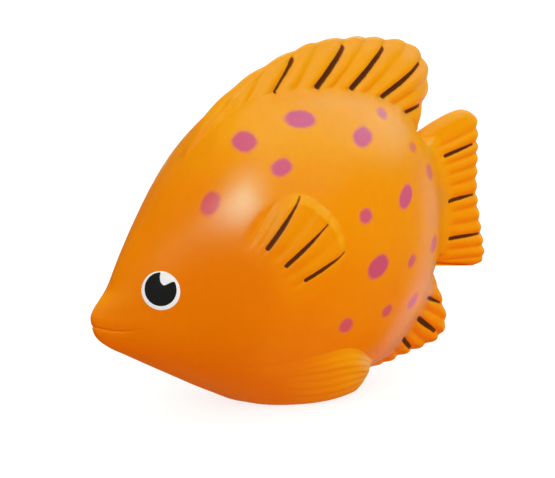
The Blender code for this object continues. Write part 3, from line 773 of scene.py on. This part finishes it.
def foam_skin():
    m = Nodes("foam_skin")
    rest = m.attr("rest", "Vector")
    up = m.attr("up")
    cloud = m.noise(rest, 0.10, 2.0)
    patch = m.noise(rest, 0.55, 3.0, 0.55)
    grain = m.noise(rest, 2.6, 2.0, 0.6)
    fine = m.noise(rest, 5.5, 1.0)
    # painted light: the orange is yellower and lighter where the skin looks up and back towards the lamps, and redder
    # and darker where it looks away; higher up, on the back and fin tops, it is painted yellower still, and a faint
    # random cloud varies the tone
    high = m.node("ShaderNodeSeparateXYZ", {0: rest}).outputs[2]
    painted_light = m.math("ADD", up, m.math("MULTIPLY", m.math("SUBTRACT", cloud, 0.5), 0.22))
    painted_light = m.math("ADD", painted_light, m.ramp(high, 13.0, 36.0, 0.0, 0.42))
    skin = m.colours(m.ramp(painted_light, -1.0, 1.0, kind="LINEAR"),
                     [(0.15, (0.82, 0.140, 0.0005)), (0.40, (0.85, 0.190, 0.0005)), (0.52, (0.86, 0.222, 0.0005)),
                      (0.70, (0.87, 0.282, 0.001)), (0.92, (0.88, 0.345, 0.003))])
    tone = m.math("ADD", 0.955, m.math("MULTIPLY", patch, 0.07))
    tone = m.math("ADD", tone, m.math("MULTIPLY", grain, 0.03))
    skin = m.mix(1.0, skin, m.node("ShaderNodeCombineColor", {0: tone, 1: tone, 2: tone}).outputs[0], "MULTIPLY")
    # a trace of the mould's parting line
    side = m.node("ShaderNodeSeparateXYZ", {0: rest}).outputs[1]
    seam = m.math("MULTIPLY", m.ramp(m.math("ABSOLUTE", side), 0.45, 0.12), 0.15)
    skin = m.mix(seam, skin, (0.90, 0.36, 0.02, 1))
    # sprayed spots with a soft edge
    wob = m.math("MULTIPLY", m.math("SUBTRACT", m.noise(rest, 1.1, 3.0, 0.6), 0.5), 0.45)
    spot = m.math("ADD", m.attr("spot"), wob)
    # painted light on the spots too: their pink is lighter where the skin looks towards the lamps
    pink = m.colours(m.ramp(painted_light, -1.0, 1.0, kind="LINEAR"),
                     [(0.30, (0.57, 0.062, 0.090)), (0.52, (0.55, 0.066, 0.130)), (0.80, (0.60, 0.097, 0.232))])
    pink = m.mix(m.attr("red"), pink, (0.67, 0.078, 0.104, 1))
    colour = m.mix(m.math("MULTIPLY", m.ramp(spot, 0.55, -0.55), m.attr("dense")), skin, pink)
    # painted grooves: blunt at the root, thin and reddish at the end
    jag = m.math("MULTIPLY", m.math("SUBTRACT", m.noise(rest, 0.9, 3.0, 0.6), 0.5), 0.20)
    across = m.math("ADD", m.attr("across"), jag)
    beyond = m.attr("beyond")
    along = m.attr("along")
    off = m.math("SQRT", m.math("ADD", m.math("MULTIPLY", across, across), m.math("MULTIPLY", beyond, beyond)))
    off = m.math("SUBTRACT", off, m.attr("ink"))
    line = m.ramp(off, 0.13, -0.13)
    ink = m.colours(m.ramp(off, -0.35, 0.15, kind="LINEAR"),
                    [(0.0, (0.094, 0.0235, 0.004)), (0.55, (0.115, 0.0230, 0.003)), (1.0, (0.21, 0.032, 0.004))])
    ink = m.mix(m.ramp(along, 0.65, 1.0, 0.0, 0.85), ink, (0.190, 0.030, 0.004, 1))
    colour = m.mix(line, colour, ink)
    # the nose, the ridge of the forehead and the side fins are rubbed dull, and so is the ink
    ahead = m.node("ShaderNodeSeparateXYZ", {0: rest}).outputs[0]
    front = m.ramp(ahead, -29.0, -38.0)
    ridge = m.math("MULTIPLY", m.ramp(m.math("ABSOLUTE", side), 9.0, 4.0), m.ramp(ahead, -4.0, -18.0))
    front = m.math("MAXIMUM", front, m.math("MULTIPLY", ridge, 0.85))
    front = m.math("MAXIMUM", front, m.attr("dull"))
    rough = m.math("ADD", 0.20, m.math("MULTIPLY", patch, 0.10))
    rough = m.math("ADD", rough, m.math("MULTIPLY", front, 0.25))
    gloss = m.math("SUBTRACT", 1.08, m.math("MULTIPLY", m.math("MAXIMUM", line, front), 0.045))
    height = m.math("ADD", m.math("MULTIPLY", grain, 0.65), m.math("MULTIPLY", fine, 0.35))
    normal = m.bump(height, 0.55, 0.00006)
    return m.finish(Base_Color=colour, Roughness=rough, IOR=gloss, Normal=normal)


def eye_paint(name, colour, rough, vary):
    m = Nodes(name)
    rest = m.attr("rest", "Vector")
    cloud = m.noise(rest, 0.9, 3.0, 0.6)
    tone = m.math("ADD", 1.0 - vary / 2, m.math("MULTIPLY", cloud, vary))
    base = m.mix(1.0, (*colour, 1), m.node("ShaderNodeCombineColor", {0: tone, 1: tone, 2: tone}).outputs[0], "MULTIPLY")
    normal = m.bump(m.noise(rest, 3.0, 2.0), 0.35, 0.00004)
    return m.finish(Base_Color=base, Roughness=m.math("ADD", rough - 0.04, m.math("MULTIPLY", cloud, 0.10)),
                    IOR=1.02, Normal=normal)


def floor_paper():
    m = Nodes("floor_paper")
    where = m.node("ShaderNodeTexCoord").outputs["Object"]
    tone = m.math("ADD", 0.24, m.math("MULTIPLY", m.noise(where, 3.0, 4.0), 0.01))
    return m.finish(Base_Color=m.node("ShaderNodeCombineColor", {0: tone, 1: tone, 2: tone}).outputs[0],
                    Roughness=0.9, Specular_IOR_Level=0.1, Emission_Color=(1, 1, 1, 1), Emission_Strength=0.79)


skin = foam_skin()
white_paint = eye_paint("eye_white_paint", (0.93, 0.90, 0.885), 0.38, 0.05)
black_paint = eye_paint("eye_black_paint", (0.015, 0.015, 0.014), 0.40, 0.35)
orange = [*halves.values(), dorsal, tail, anal, *pecs.values(), *pelvs.values()]
for ob in orange:
    ob.data.materials.append(skin)
for white, black, shine in eye_sets.values():
    for ob, paint, slot in ((white, white_paint, "eye_white"), (black, black_paint, "eye_black"),
                            (shine, white_paint, "eye_white")):
        ob.data.materials.append(paint)


# ============================================================ bake each piece in place and hide the model.glb parts it stands in for
def flank_blend(ob):
    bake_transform(ob)


def fin_blend(ob, fin):
    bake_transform(ob)
    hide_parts(fin, fin + "_root")


for side in SIDES:
    white, black, shine = eye_sets[side]
    for ob in (halves[side], pecs[side], pelvs[side], white, black, shine):
        flank_blend(ob)
    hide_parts("flank_" + side, "body_rim", "foam_core")
    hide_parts("pectoral_fin_" + side)
    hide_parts("pelvic_fin_" + side)
    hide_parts("eye_white_" + side)
    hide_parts("pupil_" + side)
    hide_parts("glint_" + side)
fin_blend(dorsal, "dorsal_fin")
fin_blend(tail, "tail_fin")
fin_blend(anal, "anal_fin")

# ============================================================ stage, light and camera
bm = bmesh.new()
bmesh.ops.create_grid(bm, x_segments=1, y_segments=1, size=6.0)
me = bpy.data.meshes.new("floor")
bm.to_mesh(me)
bm.free()
floor = bpy.data.objects.new("floor", me)
bpy.context.scene.collection.objects.link(floor)
floor.data.materials.append(floor_paper())
floor.visible_diffuse = False
floor.visible_glossy = False
floor.visible_shadow = False

world = bpy.data.worlds.new("studio")
bpy.context.scene.world = world
world.use_nodes = True
tree = world.node_tree
coord = tree.nodes.new("ShaderNodeTexCoord")
split = tree.nodes.new("ShaderNodeSeparateXYZ")
span = tree.nodes.new("ShaderNodeMapRange")
band = tree.nodes.new("ShaderNodeValToRGB")
tree.links.new(coord.outputs["Generated"], split.inputs[0])
tree.links.new(split.outputs["Z"], span.inputs[0])
span.inputs[1].default_value, span.inputs[2].default_value = -1.0, 1.0
tree.links.new(span.outputs[0], band.inputs[0])
band.color_ramp.elements.new(0.5)
for e, (at, colour) in zip(band.color_ramp.elements, [(0.0, (0.06, 0.06, 0.06)), (0.5, (0.30, 0.30, 0.30)), (1.0, (1.0, 1.0, 1.0))]):
    e.position, e.color = at, (*colour, 1)
tree.links.new(band.outputs[0], tree.nodes["Background"].inputs[0])
tree.nodes["Background"].inputs[1].default_value = 1.0


def area(name, turn, rise, size, watts, shine=False):
    """A soft box one metre off, turned from the front towards the tail; a shine only shows as a highlight."""
    lamp = bpy.data.lights.new(name, "AREA")
    lamp.shape, lamp.size, lamp.energy = "DISK", size, watts
    lamp.color = (0.3, 1.12, 1.0) if shine else (1, 1, 1)
    lamp.cycles.use_multiple_importance_sampling = not shine
    ob = bpy.data.objects.new(name, lamp)
    target = Vector((0.0, 0.0, 0.035))
    a, b = math.radians(turn), math.radians(rise)
    ob.location = target + Vector((math.sin(a) * math.cos(b), -math.cos(a) * math.cos(b), math.sin(b)))
    ob.rotation_euler = (target - ob.location).to_track_quat("-Z", "Y").to_euler()
    ob.visible_camera, ob.visible_diffuse, ob.visible_glossy = False, not shine, shine
    bpy.context.scene.collection.objects.link(ob)


area("key", -22, 25, 0.5, 2.0)
area("bounce", 60, -20, 0.8, 1.4)
area("fill_front", -5, -5, 1.4, 2.9)
area("fill_back", 175, -5, 1.4, 2.9)
area("fill_head", -95, 0, 1.4, 1.6)
area("fill_tail", 85, 0, 1.4, 1.2)
area("fill_top", 0, 89, 1.4, 1.2)
area("table_front", 25, -60, 1.0, 3.6)
area("table_back", 185, -60, 1.0, 3.6)
area("cheek_shine", -45, 31, 0.42, 88.0, True)
area("cheek_glow", -42, 36, 0.80, 70.0, True)
area("rear_shine", 92, 40, 1.0, 30.0, True)
area("back_shine", 160, 45, 1.2, 16.0, True)
area("top_shine", 0, 88, 0.8, 22.0, True)
area("sky_shine", 25, 52, 1.3, 34.0, True)
area("low_shine", 117, -12, 0.80, 3.4, True)
area("edge_shine", 150, 0, 0.60, 1.6, True)

AZ, EL, DIST, FOCAL = math.radians(-30), math.radians(14), 600.0, 2760.0
cam_data = bpy.data.cameras.new("camera")
cam = bpy.data.objects.new("camera", cam_data)
bpy.context.scene.collection.objects.link(cam)
back = Vector((math.sin(AZ) * math.cos(EL), -math.cos(AZ) * math.cos(EL), math.sin(EL)))
cam.location = Vector(to_part((0, 0, 0))) + back * DIST * UNIT
cam.rotation_euler = (-back).to_track_quat("-Z", "Y").to_euler()
cam_data.sensor_width = 36.0
cam_data.lens = 36.0 * FOCAL / 555
cam_data.clip_start, cam_data.clip_end = 0.02, 60
bpy.context.scene.camera = cam
bpy.context.scene.view_settings.view_transform = "Standard"
